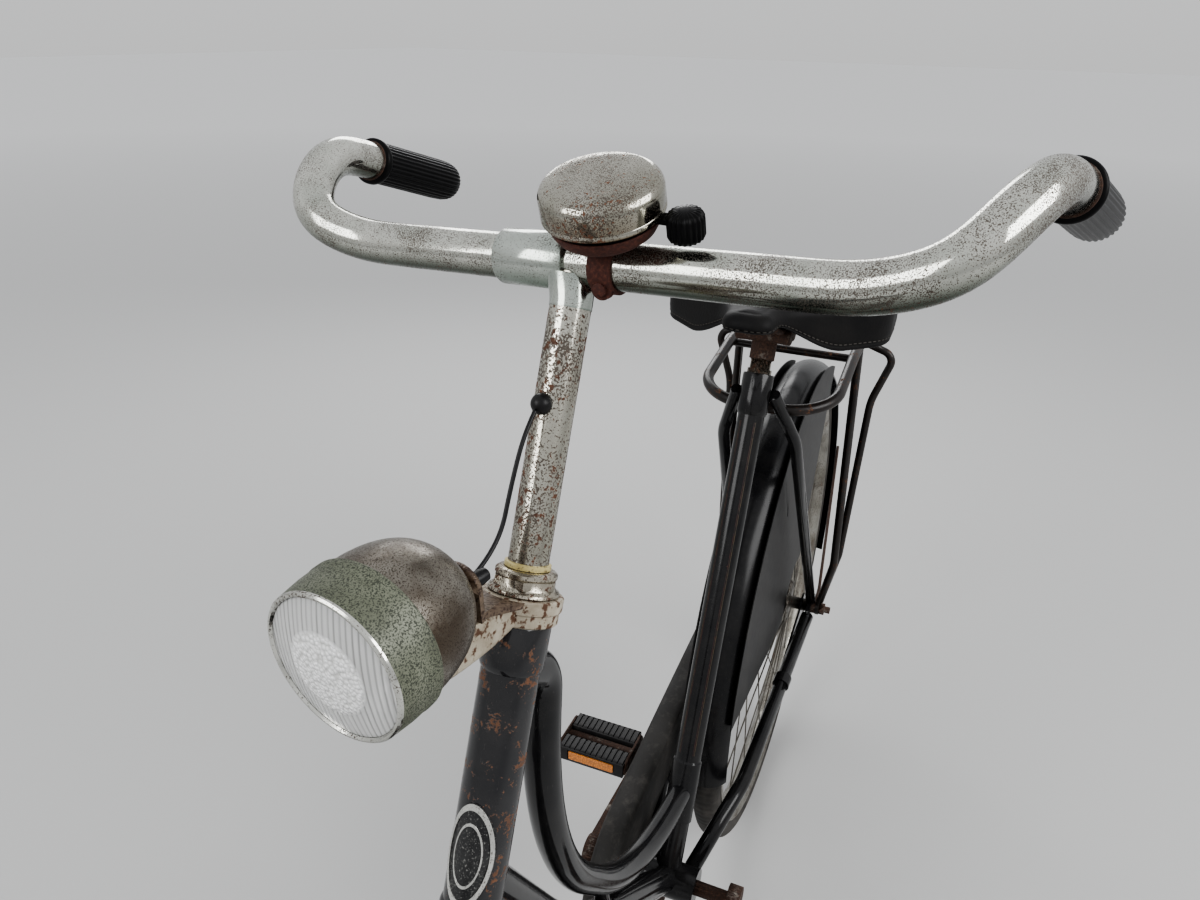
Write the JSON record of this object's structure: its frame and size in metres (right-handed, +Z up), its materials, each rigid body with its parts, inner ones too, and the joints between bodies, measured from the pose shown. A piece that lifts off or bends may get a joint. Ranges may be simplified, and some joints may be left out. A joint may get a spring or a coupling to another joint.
{
  "type": "step-through roadster bicycle",
  "caption": "Old black step-through roadster bicycle with a swan-neck frame, enclosed chain, dress guards, rear carrier, bullet headlamp and centre stand.",
  "frame": {"origin": "on the ground, under the middle of the wheelbase, in the frame's middle plane", "axes": "+X forwards, +Y to the rider's left, +Z up"},
  "size_m": [1.8288, 0.4818, 1.0974],
  "materials": {
    "black_enamel": "gloss, dusty, with rust at the joints and fine scratches",
    "dull_chrome": "dull and pitted, with dark specks and brown rust streaks",
    "rusty_steel": "brown rust over old plating",
    "tyre_rubber": "matt and dusty",
    "hub_metal": "dull galvanised",
    "black_rubber": "slightly shiny",
    "saddle_cover": "grained and stitched",
    "case_cloth": "grained oilcloth, matt and dusty",
    "stem_ring_finish": "dull and yellowish",
    "painted_bracket": "light paint, chipped and rusty",
    "lamp_shell_finish": "worn silver and brown, mottled",
    "lens_glass": "clear and vertically ribbed",
    "red_lens": "translucent red",
    "badge_metal": "blank, worn"
  },
  "bodies": {
    "frame": {"head_tube": "black_enamel", "head_cups": "dull_chrome", "swan_tube": "black_enamel", "down_tube": "black_enamel", "seat_tube": "black_enamel", "bottom_bracket": "black_enamel", "chain_stays": "black_enamel", "seat_stays": "black_enamel", "rear_axle": "rusty_steel", "rear_mudguard": "black_enamel", "rear_mudguard_stays": "rusty_steel", "rear_lamp": "red_lens", "chain_case": "case_cloth", "seat_post": "dull_chrome", "saddle_frame": "rusty_steel", "saddle": "saddle_cover", "rear_carrier": "black_enamel", "skirt_guards": "case_cloth", "head_badge": "badge_metal", "brake_arm": "black_enamel", "stand_bracket": "rusty_steel"},
    "fork": {"fork": "black_enamel", "front_axle": "rusty_steel", "headset_nuts": "dull_chrome", "stem_ring": "stem_ring_finish", "stem": "dull_chrome", "handlebar": "dull_chrome", "grips": "black_rubber", "bell_base": "rusty_steel", "bell_dome": "dull_chrome", "lamp_bracket": "painted_bracket", "lamp_shell": "lamp_shell_finish", "lamp_rim": "dull_chrome", "lamp_lens": "lens_glass", "front_mudguard": "black_enamel", "front_mudguard_stays": "rusty_steel", "wire_grommet": "black_rubber", "lamp_wire": "black_rubber"},
    "front_wheel": {"front_tyre": "tyre_rubber", "front_rim": "dull_chrome", "front_hub_and_spokes": "hub_metal"},
    "rear_wheel": {"rear_tyre": "tyre_rubber", "rear_rim": "dull_chrome", "rear_hub_and_spokes": "hub_metal"},
    "crank": {"cranks": "dull_chrome"},
    "left_pedal": {"pedal_left": "rusty_steel", "pedal_blocks_left": "black_rubber"},
    "right_pedal": {"pedal_right": "rusty_steel", "pedal_blocks_right": "black_rubber"},
    "centre_stand": {"stand": "rusty_steel"}
  },
  "joints": [
    {"name": "steering", "type": "hinge", "parent": "frame", "child": "fork", "pos_m": [0.29939, 0, 0.76586], "axis": [-0.3827, 0, 0.9239], "range_deg": [-51.5, 68.5]},
    {"name": "front_wheel_spin", "type": "hinge", "parent": "fork", "child": "front_wheel", "pos_m": [0.55321, -0.01153, 0.35467], "axis": [0.1366, 0.989, 0.0566], "continuous": true},
    {"name": "rear_wheel_spin", "type": "hinge", "parent": "frame", "child": "rear_wheel", "pos_m": [-0.554, 0, 0.355], "axis": [0, 1, 0], "continuous": true},
    {"name": "crank_spin", "type": "hinge", "parent": "frame", "child": "crank", "pos_m": [-0.07004, 0, 0.285], "axis": [0, 1, 0], "continuous": true},
    {"name": "left_pedal_spin", "type": "hinge", "parent": "crank", "child": "left_pedal", "pos_m": [0.09955, 0.138, 0.29686], "axis": [0, 1, 0], "continuous": true},
    {"name": "right_pedal_spin", "type": "hinge", "parent": "crank", "child": "right_pedal", "pos_m": [-0.23962, -0.15, 0.27314], "axis": [0, 1, 0], "continuous": true},
    {"name": "stand_fold", "type": "hinge", "parent": "frame", "child": "centre_stand", "pos_m": [-0.10804, 0, 0.255], "axis": [0, 1, 0], "range_deg": [0, 50]}
  ]
}
